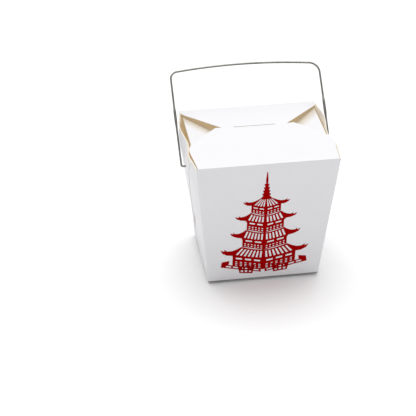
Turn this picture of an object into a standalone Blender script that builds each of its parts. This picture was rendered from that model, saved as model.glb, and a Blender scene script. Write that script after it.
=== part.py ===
"""Noodle takeaway box: a shut folded-board pail with a wire handle.

The board is one folded sheet, so it is one solid: four flaring walls, four folded corner
gussets that lie over the narrow sides, and four closing flaps on top. The wire handle turns
in a hole through the gussets of each narrow side. Metres, +Z up, the printed wide face
towards -Y, and the origin at the middle of the base.
"""

import math

import bmesh
import bpy
from mathutils import Matrix, Vector

# Driving sizes of the pail
TOP_W = 0.108  # wide faces, across the rim
TOP_D = 0.092  # narrow sides, across the rim
BASE_W = 0.0865
BASE_D = 0.070
HEIGHT = 0.109
BOARD = 0.00045  # one layer of paperboard
EDGE_WALL = 0.0007  # wide wall left standing beside the narrow side's pocket
BASE_FOLD_R = 0.0010

# Narrow sides: under the gussets the wall leans in more than the corners do, then turns out
SIDE_KNEE_X = 0.0500
SIDE_KNEE_Z = 0.0950
SIDE_RIM_X = 0.0532
SIDE_RIM_Z = 0.1072
POCKET_START_Z = 0.004

# Gussets: the corner webs, folded double and laid over the narrow sides
GUSSET_T = 2 * BOARD
GUSSET_TOP_Z = 0.1086
GUSSET_TOP_SLOPE = math.radians(4)  # their top edges fall towards the middle
GUSSET_FOLD_ANGLE = math.radians(31.8)  # free edge, from the vertical
GUSSET_START = 0.04  # share of the height at which the fan of the web begins
GUSSET_LAP = 0.0003
GUSSET_INSET = 0.00012
BULGE_BASE = 0.0005
BULGE_RISE = 0.0047
BULGE_SPAN_Z = 0.165
BULGE_POWER = 2.8
BULGE_MIDDLE = 0.72  # share of the bulge at the wire, which holds them in
BULGE_RIM_MIDDLE = 0.20  # and at the rim, where they lie against the narrow side
BULGE_DRAW_Z = 0.090  # height from which the middle is drawn in
BULGE_FLANK = 0.64  # share added on either side of the middle, at the rim
BULGE_FLANK_Z = 0.080  # height from which the sides bow out
GUSSET_STEP = 0.007  # run over which the lower gusset slips under the upper one's edge
GUSSET_CELLS = 18

# Closing flaps
FLAP_TOP_Z = HEIGHT
FOLD_STEP = 0.0002
SIDE_FLAP_END_X = 0.018
SIDE_FLAP_END_Z = 0.1008
FRONT_FLAP_FOLD_X = 0.0526
FRONT_FLAP_SHOULDER_X = 0.0553
FRONT_FLAP_SHOULDER_Y = -0.0165
FRONT_FLAP_NECK_X = 0.0528
FRONT_FLAP_NECK_Y = -0.0098
FRONT_FLAP_FAR_X = 0.0300
FRONT_FLAP_FAR_Y = 0.0131
FLAP_CORNER_R = 0.003
FLAP_NECK_R = 0.004
BACK_FLAP_FOLD_X = 0.0528
BACK_FLAP_CORNER_X = 0.0538
BACK_FLAP_CORNER_Y = 0.0395
BACK_FLAP_SLOT_X = 0.0236
BACK_FLAP_END_X = 0.0150
BACK_FLAP_END_Y = 0.0040
BACK_FLAP_CORNER_R = 0.002
BACK_FLAP_SINK = 0.00005  # its fold lies this much lower than the front flap's
BACK_FLAP_DROP = 0.0008  # how much lower it lies at the slot than at its fold
TAB_HALF_W = 0.0144
TAB_TAPER = 0.002
TAB_LENGTH = 0.0070
TAB_SINK = 0.0003  # its bent root lies under the flap's upper face
TAB_ANGLE = math.radians(-68)
SLOT_HALF_W = 0.0150
SLOT_Y0 = FRONT_FLAP_FAR_Y - 0.0002
SLOT_Y1 = FRONT_FLAP_FAR_Y + 0.0011

# Wire handle
WIRE_R = 0.00075
PIVOT_Z = 0.0855
LEAN = math.radians(48)  # it leans towards the back, from the vertical
HANDLE_SLIDE = -0.00035  # it has slid a little towards -X in its holes
LEG_X = 0.0581
LEG_TOP_X = 0.0586
LEG_LENGTH = 0.0771
BAR_BOW = 0.0036
BAR_CORNER_R = 0.0085
HOOK_X = 0.0514
HOOK_LENGTH = 0.0070
HOOK_BEND_R = 0.0012
SWAGE_AT = 0.040  # a slightly thicker stretch of each leg, just above the gussets
SWAGE_LENGTH = 0.014
SWAGE_R = 0.00105
WIRE_HOLE_R = 0.0012
WIRE_HOLE_X0 = 0.0506
WIRE_HOLE_X1 = 0.0565

PARTS = "noodle_takeaway_box"
FOLDED = "folded_pieces"
CUTTERS = "cutters"


def corner_x(z):
    """X of the box's slanted corner edge at height z."""
    return (BASE_W + (TOP_W - BASE_W) * z / HEIGHT) / 2


def corner_y(z):
    """Y of the box's slanted corner edge at height z."""
    return (BASE_D + (TOP_D - BASE_D) * z / HEIGHT) / 2


def side_wall_x(z):
    """X of the narrow side's own wall, under the gussets."""
    if z < SIDE_KNEE_Z:
        return BASE_W / 2 + (SIDE_KNEE_X - BASE_W / 2) * z / SIDE_KNEE_Z
    slope = (SIDE_RIM_X - SIDE_KNEE_X) / (SIDE_RIM_Z - SIDE_KNEE_Z)
    return SIDE_KNEE_X + slope * (z - SIDE_KNEE_Z)


def smooth(value, low, high):
    """0 below low, 1 above high, and a smooth ramp between."""
    t = min(1.0, max(0.0, (value - low) / (high - low)))
    return t * t * (3 - 2 * t)


def gusset_x(y, z):
    """X of the outer face of the gussets, which bow out on either side of the wire."""
    rise = math.sin(math.pi * z / BULGE_SPAN_Z) ** BULGE_POWER
    bulge = BULGE_BASE + BULGE_RISE * rise
    across = min(1.0, abs(y) / corner_y(z))
    drawn = (BULGE_MIDDLE - BULGE_RIM_MIDDLE) * smooth(z, BULGE_DRAW_Z, HEIGHT)
    middle = (BULGE_MIDDLE - drawn) * (1 - across**4)
    flank = BULGE_FLANK * smooth(z, BULGE_FLANK_Z, HEIGHT) * math.sin(math.pi * across) ** 2
    return corner_x(z) - GUSSET_INSET + bulge * (middle + flank)


def collection(name):
    """A new collection in the scene."""
    made = bpy.data.collections.new(name)
    bpy.context.scene.collection.children.link(made)
    return made


def add_mesh(name, bm, group):
    """Turns a bmesh into a named object in a collection."""
    mesh = bpy.data.meshes.new(name)
    bm.to_mesh(mesh)
    bm.free()
    made = bpy.data.objects.new(name, mesh)
    group.objects.link(made)
    return made


def fit_face(face, level):
    """Moves a four-sided face's corners to a level rectangle (x0, x1, y0, y1, z)."""
    middle = face.calc_center_median()
    x0, x1, y0, y1, z = level
    for v in face.verts:
        v.co = Vector((x1 if v.co.x > middle.x else x0, y1 if v.co.y > middle.y else y0, z))


def block(name, levels, group):
    """A cube drawn out through level rectangles (x0, x1, y0, y1, z), the lowest first."""
    bm = bmesh.new()
    bmesh.ops.create_cube(bm, size=2)
    by_height = sorted(bm.faces, key=lambda f: f.calc_center_median().z)
    fit_face(by_height[0], levels[0])
    roof = by_height[-1]
    fit_face(roof, levels[1])
    for level in levels[2:]:
        drawn = bmesh.ops.extrude_face_region(bm, geom=[roof])["geom"]
        bmesh.ops.delete(bm, geom=[roof], context="FACES_ONLY")
        roof = next(g for g in drawn if isinstance(g, bmesh.types.BMFace))
        fit_face(roof, level)
    return add_mesh(name, bm, group)


def boolean(target, operation, operand):
    """Adds a Boolean modifier with an object or a collection as its operand."""
    mod = target.modifiers.new(operation.lower(), "BOOLEAN")
    mod.operation = operation
    if isinstance(operand, bpy.types.Collection):
        mod.solver = "MANIFOLD"
        mod.operand_type = "COLLECTION"
        mod.collection = operand
    else:
        mod.solver = "EXACT"
        mod.object = operand
    return mod


def as_cutter(piece):
    """Keeps a guide out of the model."""
    piece.hide_render = True
    piece.display_type = "WIRE"
    return piece


def rounded_outline(corners, steps=5):
    """Points of a flat outline from (x, y, radius) corners, with each round corner an arc."""
    points = []
    for i, (x, y, radius) in enumerate(corners):
        here = Vector((x, y))
        if radius == 0:
            points.append(here)
            continue
        before = (Vector(corners[i - 1][:2]) - here).normalized()
        after = (Vector(corners[(i + 1) % len(corners)][:2]) - here).normalized()
        half = before.angle(after) / 2
        centre = here + (before + after).normalized() * radius / math.sin(half)
        start = here + before * radius / math.tan(half) - centre
        end = here + after * radius / math.tan(half) - centre
        turn = start.angle_signed(end)
        for k in range(steps + 1):
            points.append(centre + Matrix.Rotation(-turn * k / steps, 2) @ start)
    return points


def mirrored(half):
    """A closed outline from its half at +X, listed from the far end back to the near one."""
    return half + [(-x, y, radius) for x, y, radius in reversed(half)]


def plate(name, corners, place, group):
    """A flat piece of board with that outline, its upper face at the placing matrix."""
    curve = bpy.data.curves.new(name, "CURVE")
    curve.dimensions = "2D"
    curve.fill_mode = "BOTH"
    curve.extrude = BOARD / 2
    outline = rounded_outline(corners)
    spline = curve.splines.new("POLY")
    spline.points.add(len(outline) - 1)
    for point, (x, y) in zip(spline.points, outline):
        point.co = (x, y, -BOARD / 2, 1)
    spline.use_cyclic_u = True
    drawn = bpy.data.objects.new(name + "_outline", curve)
    group.objects.link(drawn)
    bpy.context.view_layer.update()
    mesh = bpy.data.meshes.new_from_object(
        drawn.evaluated_get(bpy.context.evaluated_depsgraph_get())
    )
    bpy.data.objects.remove(drawn)
    bm = bmesh.new()
    bm.from_mesh(mesh)
    bpy.data.meshes.remove(mesh)
    low = min(v.co.z for v in bm.verts)
    for v in bm.verts:
        v.co.z -= low + BOARD
    bmesh.ops.remove_doubles(bm, verts=bm.verts, dist=1e-6)
    bmesh.ops.recalc_face_normals(bm, faces=bm.faces)
    made = add_mesh(name, bm, group)
    made.matrix_world = place
    return made


def core(group, cutters):
    """The shut body: walls and base, with the slanting side flaps as its top."""
    foot = (-BASE_W / 2, BASE_W / 2, -BASE_D / 2, BASE_D / 2, 0)
    rim = (-TOP_W / 2, TOP_W / 2, -TOP_D / 2, TOP_D / 2, HEIGHT - FOLD_STEP)
    made = block("carton", [foot, rim], group)
    bm = bmesh.new()
    bm.from_mesh(made.data)
    base_edges = [e for e in bm.edges if all(v.co.z < BOARD for v in e.verts)]
    bmesh.ops.bevel(
        bm, geom=base_edges, offset=BASE_FOLD_R, segments=3, profile=0.5, affect="EDGES"
    )
    bm.to_mesh(made.data)
    bm.free()

    clear = 0.010
    for side in (-1, 1):
        levels = []
        for z in (POCKET_START_Z, SIDE_KNEE_Z, HEIGHT + clear):
            inner = side_wall_x(z)
            x0, x1 = sorted((side * inner, side * (inner + clear)))
            y = corner_y(z) - EDGE_WALL
            levels.append((x0, x1, -y, y, z))
        boolean(made, "DIFFERENCE", as_cutter(block(f"pocket_cutter_{side}", levels, cutters)))

    inner_y = corner_y(SIDE_RIM_Z) - EDGE_WALL
    slope = (SIDE_RIM_Z - SIDE_FLAP_END_Z) / (SIDE_RIM_X - SIDE_FLAP_END_X)
    wide_x = SIDE_RIM_X + clear
    wide_z = SIDE_RIM_Z + slope * clear
    levels = [
        (-SIDE_FLAP_END_X, SIDE_FLAP_END_X, -inner_y, inner_y, SIDE_FLAP_END_Z),
        (-wide_x, wide_x, -inner_y, inner_y, wide_z),
        (-wide_x, wide_x, -inner_y, inner_y, wide_z + clear),
    ]
    valley = block("flap_valley_cutter", levels, cutters)
    boolean(made, "DIFFERENCE", as_cutter(valley))
    return made


def gusset(name, side, end, outer, group):
    """One folded corner web, a fan from its bottom corner; end is the wide wall it hangs on."""
    fold_run = math.tan(GUSSET_FOLD_ANGLE)
    fall = math.tan(GUSSET_TOP_SLOPE)
    apex = Vector((BASE_D / 2, 0))
    top = Vector((corner_y(GUSSET_TOP_Z), GUSSET_TOP_Z))
    tip_z = (top.y - (top.x - apex.x) * fall) / (1 + fold_run * fall)
    tip = Vector((apex.x - tip_z * fold_run, tip_z))
    root = EDGE_WALL / 2

    bm = bmesh.new()
    bmesh.ops.create_grid(
        bm, x_segments=GUSSET_CELLS, y_segments=GUSSET_CELLS, size=0.5
    )
    for v in bm.verts:
        across = v.co.x + 0.5
        up = GUSSET_START + (1 - GUSSET_START) * (v.co.y + 0.5)
        corner = apex.lerp(top, up) - Vector((root, 0))
        y, z = corner.lerp(apex.lerp(tip, up), across)
        x = gusset_x(y, z)
        if not outer:
            past = end * y - (apex.x - z * fold_run)
            x -= (GUSSET_T - GUSSET_LAP) * smooth(past, -GUSSET_STEP, 0)
        v.co = Vector((side * x, end * y, z))
    bm.normal_update()
    if sum(f.normal.x for f in bm.faces) * side < 0:
        bmesh.ops.reverse_faces(bm, faces=bm.faces)
    made = add_mesh(name, bm, group)
    wall = made.modifiers.new("layers", "SOLIDIFY")
    wall.thickness = GUSSET_T
    wall.offset = -1
    return made


def front_flap(group):
    """The printed face's own closing flap, on top, with its tab bent down into the slot."""
    fold_y = -(TOP_D / 2 - EDGE_WALL / 2)
    half = [
        (FRONT_FLAP_FAR_X, FRONT_FLAP_FAR_Y, FLAP_CORNER_R),
        (FRONT_FLAP_NECK_X, FRONT_FLAP_NECK_Y, FLAP_NECK_R),
        (FRONT_FLAP_SHOULDER_X, FRONT_FLAP_SHOULDER_Y, FLAP_CORNER_R),
        (FRONT_FLAP_FOLD_X, fold_y, 0),
    ]
    plate("front_flap", mirrored(half), Matrix.Translation((0, 0, FLAP_TOP_Z)), group)
    tab = mirrored(
        [(TAB_HALF_W - TAB_TAPER, TAB_LENGTH, FLAP_CORNER_R), (TAB_HALF_W, -FOLD_STEP, 0)]
    )
    root = Vector((0, FRONT_FLAP_FAR_Y - FOLD_STEP / 2, FLAP_TOP_Z - TAB_SINK))
    plate(
        "front_tab",
        tab,
        Matrix.Translation(root) @ Matrix.Rotation(TAB_ANGLE, 4, "X"),
        group,
    )


def back_flap(group, cutters):
    """The flap from the back wall, which lies under the front one and holds its tab."""
    fold_y = TOP_D / 2 - EDGE_WALL / 2
    run = fold_y - FRONT_FLAP_FAR_Y
    half = [
        (BACK_FLAP_FOLD_X, fold_y, 0),
        (BACK_FLAP_CORNER_X, BACK_FLAP_CORNER_Y, BACK_FLAP_CORNER_R),
        (BACK_FLAP_SLOT_X, FRONT_FLAP_FAR_Y, 0),
        (BACK_FLAP_END_X, BACK_FLAP_END_Y, FLAP_NECK_R),
    ]
    local = [(x, y - fold_y, radius) for x, y, radius in half]
    fold = Vector((0, fold_y, FLAP_TOP_Z - BACK_FLAP_SINK))
    tilt = Matrix.Rotation(math.atan(BACK_FLAP_DROP / run), 4, "X")
    made = plate("back_flap", mirrored(local), Matrix.Translation(fold) @ tilt, group)
    slot = (-SLOT_HALF_W, SLOT_HALF_W, SLOT_Y0, SLOT_Y1)
    levels = [(*slot, FLAP_TOP_Z - 0.004), (*slot, FLAP_TOP_Z + 0.002)]
    boolean(made, "DIFFERENCE", as_cutter(block("slot_cutter", levels, cutters)))


def wire_holes(target, cutters):
    """Cuts the hole through the gussets that the wire turns in, on both narrow sides."""
    for side in (-1, 1):
        bm = bmesh.new()
        bmesh.ops.create_cone(
            bm,
            cap_ends=True,
            segments=24,
            radius1=WIRE_HOLE_R,
            radius2=WIRE_HOLE_R,
            depth=WIRE_HOLE_X1 - WIRE_HOLE_X0,
        )
        cutter = add_mesh(f"wire_hole_cutter_{side}", bm, cutters)
        middle = side * (WIRE_HOLE_X0 + WIRE_HOLE_X1) / 2
        turn = Matrix.Rotation(math.radians(90), 4, "Y")
        cutter.matrix_world = Matrix.Translation((middle, 0, PIVOT_Z)) @ turn
        boolean(target, "DIFFERENCE", as_cutter(cutter))


def arc(centre, start, end, steps):
    """Points on the short arc from start to end about a centre, ends included."""
    a = start - centre
    b = end - centre
    turn = a.angle(b)
    return [
        centre + (a * math.sin(turn * (1 - t)) + b * math.sin(turn * t)) / math.sin(turn)
        for t in (k / steps for k in range(steps + 1))
    ]


def half_handle():
    """(point, radius) along the right half of the wire, in X and the distance up the leg."""
    bend = HOOK_BEND_R
    path = [(Vector((HOOK_X, HOOK_LENGTH)), WIRE_R), (Vector((HOOK_X, HOOK_LENGTH / 2)), WIRE_R)]
    inner = arc(Vector((HOOK_X + bend, bend)), Vector((HOOK_X, bend)), Vector((HOOK_X + bend, 0)), 4)
    outer = arc(Vector((LEG_X - bend, bend)), Vector((LEG_X - bend, 0)), Vector((LEG_X, bend)), 4)
    path += [(p, WIRE_R) for p in inner + outer]

    corner_s = LEG_LENGTH - BAR_CORNER_R
    steps = 16
    for k in range(1, steps + 1):
        s = bend + (corner_s - bend) * k / steps
        x = LEG_TOP_X - (LEG_TOP_X - LEG_X) * (1 - s / LEG_LENGTH) ** 2
        near = 1 - smooth(abs(s - SWAGE_AT), SWAGE_LENGTH * 0.3, SWAGE_LENGTH * 0.6)
        path.append((Vector((x, s)), WIRE_R + (SWAGE_R - WIRE_R) * near))

    leg_end = path[-1][0]
    bar_x = LEG_TOP_X - BAR_CORNER_R
    bar_start = Vector((bar_x, LEG_LENGTH + bar_rise(bar_x)))
    centre = Vector((bar_x, corner_s))
    path += [(p, WIRE_R) for p in arc(centre, leg_end, bar_start, 8)[1:]]
    for k in range(1, 9):
        x = bar_x * (1 - k / 8)
        path.append((Vector((x, LEG_LENGTH + bar_rise(x))), WIRE_R))
    return path


def bar_rise(x):
    """How far the handle's bar bows up above its corners at x."""
    return BAR_BOW * (1 - (x / LEG_TOP_X) ** 2) - BAR_BOW * (
        1 - ((LEG_TOP_X - BAR_CORNER_R) / LEG_TOP_X) ** 2
    )


def wire_handle(group):
    """The wire, a tube on its own path, leaning back about its pivot."""
    right = half_handle()
    left = [(Vector((-p.x, p.y)), radius) for p, radius in reversed(right[:-1])]
    path = right + left
    curve = bpy.data.curves.new("wire_handle", "CURVE")
    curve.dimensions = "3D"
    curve.bevel_depth = 1.0
    curve.bevel_resolution = 3
    curve.use_fill_caps = True
    spline = curve.splines.new("POLY")
    spline.points.add(len(path) - 1)
    for point, (p, radius) in zip(spline.points, path):
        point.co = (p.x, 0, p.y, 1)
        point.radius = radius
    made = bpy.data.objects.new("wire_handle", curve)
    group.objects.link(made)
    pivot = bpy.data.objects.new("handle_pivot", None)
    group.objects.link(pivot)
    pivot.location = (HANDLE_SLIDE, 0, PIVOT_Z)
    pivot.rotation_euler = (-LEAN, 0, 0)
    made.parent = pivot
    return made


def material(name, colour, roughness, metallic):
    """A plain Principled material."""
    made = bpy.data.materials.new(name)
    made.use_nodes = True
    shader = made.node_tree.nodes["Principled BSDF"]
    shader.inputs["Base Color"].default_value = (*colour, 1)
    shader.inputs["Roughness"].default_value = roughness
    shader.inputs["Metallic"].default_value = metallic
    return made


def apply_modifiers(piece):
    """Replaces an object's mesh by what its modifiers make of it."""
    bpy.context.view_layer.update()
    mesh = bpy.data.meshes.new_from_object(
        piece.evaluated_get(bpy.context.evaluated_depsgraph_get())
    )
    piece.modifiers.clear()
    piece.data = mesh


def main():
    for old in list(bpy.data.objects):
        bpy.data.objects.remove(old)
    parts = collection(PARTS)
    cutters = collection(CUTTERS)
    folded = collection(FOLDED)

    carton = core(parts, cutters)
    for side, letter in ((-1, "l"), (1, "r")):
        gusset(f"front_gusset_{letter}", side, -1, False, folded)
        gusset(f"back_gusset_{letter}", side, 1, True, folded)
    front_flap(folded)
    back_flap(folded, cutters)
    boolean(carton, "UNION", folded)
    wire_holes(carton, cutters)
    apply_modifiers(carton)
    for piece in list(folded.objects):
        bpy.data.objects.remove(piece)
    bpy.data.collections.remove(folded)

    handle = wire_handle(parts)
    carton.data.materials.clear()
    carton.data.materials.append(material("white_board", (0.86, 0.86, 0.87), 0.45, 0))
    handle.data.materials.append(material("galvanised_wire", (0.55, 0.54, 0.53), 0.3, 1))


main()
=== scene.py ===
"""Dresses the noodle takeaway pail: folded board, printed faces, wire handle and studio.

Every piece is built in metres in the CAD frame: +Z up, the printed wide face towards -Y,
and the origin at the middle of the base.
"""

import logging
import math
from dataclasses import dataclass, field
from enum import Enum
from typing import Callable, Sequence

import bmesh
import bpy
from mathutils import Matrix, Vector

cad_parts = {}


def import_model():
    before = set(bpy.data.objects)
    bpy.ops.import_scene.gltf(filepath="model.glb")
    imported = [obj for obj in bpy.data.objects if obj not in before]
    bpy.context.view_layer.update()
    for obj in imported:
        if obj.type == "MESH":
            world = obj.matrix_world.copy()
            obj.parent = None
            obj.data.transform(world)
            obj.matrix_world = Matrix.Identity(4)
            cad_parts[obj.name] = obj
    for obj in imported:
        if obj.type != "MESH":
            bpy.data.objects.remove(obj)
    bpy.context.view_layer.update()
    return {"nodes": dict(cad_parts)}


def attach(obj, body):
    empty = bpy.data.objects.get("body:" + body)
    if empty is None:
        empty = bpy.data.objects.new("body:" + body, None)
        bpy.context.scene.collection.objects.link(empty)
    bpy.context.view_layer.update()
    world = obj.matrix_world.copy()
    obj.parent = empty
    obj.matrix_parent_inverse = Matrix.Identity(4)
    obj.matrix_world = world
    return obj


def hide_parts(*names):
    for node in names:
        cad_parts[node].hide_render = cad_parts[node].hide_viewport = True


LOG = logging.getLogger("noodle_pail")
MM = 0.001
BOARD = 0.00045
BOARD_SHARP = math.radians(38)
WIRE_SHARP = math.radians(50)
WELD = 2e-6
ARC_STEPS = 5
STEP_LENGTH = 0.0045
STEP_LEAD = 0.0004
SHARE_SLACK = 1e-6
TINY = 1e-9
BLACK = (0.0, 0.0, 0.0)

Colour = tuple[float, float, float]
Point2 = tuple[float, float]
Point3 = tuple[float, float, float]
Corner = tuple[float, float, float]
Edge = tuple[Point2, Point2]
Line = list[tuple[Vector, bool]]
Row = list[bmesh.types.BMVert]


class Side(Enum):
    """The two narrow sides, by the sign of X."""

    LEFT = -1
    RIGHT = 1


class Face(Enum):
    """The two wide faces, by the sign of Y."""

    FRONT = -1
    BACK = 1


class BodyName(Enum):
    """Bodies of the part that a piece can ride on."""

    BOX = "box"
    HANDLE = "handle"


class SlotName(Enum):
    """Material slots of the record."""

    BOARD = "white_board"
    WIRE = "galvanised_wire"


# Nodes


def operator(operation: str) -> Callable[..., "Signal"]:
    """Makes a method of Signal that adds one Math node.

    Args:
        operation: the Math node's operation.

    Returns:
        The method; it takes further operands, each a Signal or a number.
    """

    def apply(self: "Signal", *others: "Signal | float") -> "Signal":
        """The operation on this signal and the others."""
        values = dict(enumerate((self, *others)))
        return self.tree.add("ShaderNodeMath", {"operation": operation}, values)

    return apply


@dataclass(frozen=True)
class Signal:
    """One output socket in a node tree, with arithmetic that adds Math nodes."""

    tree: "Tree"
    socket: bpy.types.NodeSocket

    __add__ = __radd__ = operator("ADD")
    __sub__ = operator("SUBTRACT")
    __mul__ = __rmul__ = operator("MULTIPLY")
    __truediv__ = operator("DIVIDE")
    __mod__ = operator("FLOORED_MODULO")
    __abs__ = operator("ABSOLUTE")
    floor = operator("FLOOR")
    above = operator("GREATER_THAN")
    larger = operator("MAXIMUM")

    def __rsub__(self, other: float) -> "Signal":
        """Other minus this."""
        return (self * -1.0) + other

    def of(self, name: str) -> "Signal":
        """Another output of the same node."""
        return Signal(self.tree, self.tree.find(self.socket.node.outputs, name))

    def ramp(self, start: float, end: float) -> "Signal":
        """A smooth ramp from 0 at start to 1 at end.

        Args:
            start: the value at which the ramp is 0.
            end: the value at which it is 1; it may be below start.

        Returns:
            The ramp's value, between 0 and 1.
        """
        if end < start:
            return 1.0 - self.ramp(end, start)
        return self.tree.add(
            "ShaderNodeMapRange",
            {"interpolation_type": "SMOOTHSTEP"},
            {"Value": self, "From Min": start, "From Max": end},
        )


class Tree:
    """A shader or geometry node tree that is built one node at a time."""

    def __init__(self, tree: bpy.types.NodeTree) -> None:
        """Starts on a tree with its nodes cleared."""
        self.tree = tree
        tree.nodes.clear()

    @staticmethod
    def find(sockets: Sequence[bpy.types.NodeSocket], key: "str | int") -> bpy.types.NodeSocket:
        """The socket with that identifier, or else with that name or number."""
        exact = [socket for socket in sockets if socket.identifier == key]
        return exact[0] if exact else sockets[key]

    def add(
        self,
        kind: str,
        settings: dict | None = None,
        values: dict | None = None,
        out: "str | int" = 0,
    ) -> Signal | None:
        """Adds one node.

        Args:
            kind: the node's type.
            settings: the node's own settings, set first.
            values: a value or a Signal for each named or numbered input.
            out: the output to return.

        Returns:
            That output, or None for a node without outputs.
        """
        node = self.tree.nodes.new(kind)
        for name, value in (settings or {}).items():
            setattr(node, name, value)
        for key, value in (values or {}).items():
            socket = self.find(node.inputs, key)
            if isinstance(value, Signal):
                self.tree.links.new(value.socket, socket)
            else:
                socket.default_value = value
        return Signal(self, self.find(node.outputs, out)) if node.outputs else None

    def mix(self, factor: Signal, a: Signal | Colour, b: Signal | Colour) -> Signal:
        """Mixes two colours.

        Args:
            factor: 0 gives a, 1 gives b.
            a: the first colour.
            b: the second colour.

        Returns:
            The mixed colour.
        """
        whole = [c if isinstance(c, Signal) else (*c, 1.0) for c in (a, b)]
        values = {"Factor_Float": factor, "A_Color": whole[0], "B_Color": whole[1]}
        return self.add("ShaderNodeMix", {"data_type": "RGBA"}, values, "Result_Color")

    def object_axes(self) -> tuple[Signal, Signal, Signal]:
        """X, Y and Z of the Object coordinates."""
        place = self.add("ShaderNodeTexCoord", out="Object")
        x = self.add("ShaderNodeSeparateXYZ", {}, {0: place}, "X")
        return x, x.of("Y"), x.of("Z")

    def coats(self, colour: Signal | Colour, *coats: tuple[Signal, Colour]) -> Signal:
        """Lays further colours over a colour.

        Args:
            colour: the colour beneath.
            coats: how much of it shows, and the colour, for each coat in turn.

        Returns:
            The colour on top.
        """
        for share, paint in coats:
            colour = self.mix(share, colour, paint)
        return colour


# Finishes


@dataclass(frozen=True)
class Grain:
    """One noise over a surface: how fine it is, what it marks and how far it stands up.

    The band is where in the noise its marks start and end, the share is how strong they are,
    and the relief is the strength and the height of its bumps.
    """

    scale: float
    detail: float
    band: Point2 = (0.0, 1.0)
    share: float = 0.0
    rough: float = 0.0
    relief: Point2 = (0.0, 0.0)
    stretch: Point3 = (1.0, 1.0, 1.0)

    def noise(self, tree: Tree) -> Signal:
        """Adds the noise on the piece's own Object coordinates.

        Args:
            tree: the material's tree.

        Returns:
            A value about 0.5.
        """
        place = tree.add("ShaderNodeTexCoord", out="Object")
        mapped = tree.add("ShaderNodeMapping", {}, {"Vector": place, "Scale": self.stretch})
        values = {"Vector": mapped, "Scale": self.scale, "Detail": self.detail}
        return tree.add("ShaderNodeTexNoise", {}, values, "Fac")

    def marks(self, noise: Signal) -> Signal:
        """How much of the marks' colour shows."""
        return noise.ramp(*self.band) * self.share

    def roughen(self, noise: Signal) -> Signal:
        """What the noise adds to the roughness."""
        return (noise - 0.5) * self.rough

    def bump(self, noise: Signal, under: Signal | None = None) -> Signal:
        """Adds the bumps.

        Args:
            noise: this grain's noise.
            under: the normal of a broader grain beneath it.

        Returns:
            The bumped normal.
        """
        values = {"Height": noise, "Strength": self.relief[0], "Distance": self.relief[1]}
        if under:
            values["Normal"] = under
        return noise.tree.add("ShaderNodeBump", {}, values)


@dataclass(frozen=True)
class Finish:
    """A surface finish that builds its own material."""

    name: str
    colour: Colour
    roughness: float

    def shade(self, tree: Tree) -> dict:
        """Inputs of the Principled shader; each finish adds its own."""
        return {"Base Color": (*self.colour, 1.0), "Roughness": self.roughness}

    def material(self) -> bpy.types.Material:
        """Builds the material.

        Returns:
            A material with one Principled shader.
        """
        made = bpy.data.materials.new(self.name)
        made.use_nodes = True
        tree = Tree(made.node_tree)
        shader = tree.add("ShaderNodeBsdfPrincipled", {}, self.shade(tree))
        tree.add("ShaderNodeOutputMaterial", {}, {"Surface": shader})
        return made


@dataclass(frozen=True)
class CoatedBoard(Finish):
    """The clay-coated white outside of the board: faintly mottled, with a soft gloss.

    The foot is a painted contact shadow, a dark line along the base fold. In every finish a
    pair of places is where a mark starts and where it is full.
    """

    shade_colour: Colour = (0.80, 0.80, 0.82)
    worn_colour: Colour = (0.74, 0.73, 0.72)
    cloud: Grain = Grain(38.0, 3.0, (0.35, 0.75), 0.45, rough=0.12)
    grain: Grain = Grain(2600.0, 2.0, (0.55, 0.8), 0.10, relief=(0.12, 0.00008))
    swell: Grain = Grain(30.0, 1.0, relief=(0.10, 0.004))
    scuff: Grain = Grain(900.0, 3.0, (0.50, 0.72), 0.55)
    scuff_rough: float = 0.3
    # Painted contact shadow along the base fold.
    contact_shadow_colour: Colour = (0.03, 0.03, 0.03)
    contact_shadow_share: float = 0.95
    contact_shadow_side_share: float = 0.4
    contact_shadow_x: Point2 = (0.0425, 0.0430)
    contact_shadow_y: Point2 = (0.0337, 0.0344)
    contact_shadow_z: Point2 = (0.0022, 0.0013)

    def shade(self, tree: Tree) -> dict:
        """Mottle, paper grain, scuffed folds, a painted contact shadow along the base fold and a
        slight unevenness.

        Args:
            tree: the material's tree.

        Returns:
            The shader's inputs.
        """
        cloud, grain = self.cloud.noise(tree), self.grain.noise(tree)
        fold = tree.add("ShaderNodeAttribute", {"attribute_name": "fold"}, out="Fac")
        scuffed = fold * self.scuff.marks(self.scuff.noise(tree))
        x, y, z = tree.object_axes()
        # Painted contact shadow: a dark line along the base fold, fainter on the narrow sides.
        sides = abs(x).ramp(*self.contact_shadow_x) * self.contact_shadow_side_share
        foot = z.ramp(*self.contact_shadow_z) * abs(y).ramp(*self.contact_shadow_y).larger(sides)
        colour = tree.coats(
            self.colour,
            (self.cloud.marks(cloud), self.shade_colour),
            (self.grain.marks(grain), self.shade_colour),
            (scuffed, self.worn_colour),
            (foot * self.contact_shadow_share, self.contact_shadow_colour),
        )
        return {
            "Base Color": colour,
            "Roughness": self.roughness + self.cloud.roughen(cloud) + scuffed * self.scuff_rough,
            "Normal": self.grain.bump(grain, self.swell.bump(self.swell.noise(tree))),
        }


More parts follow.
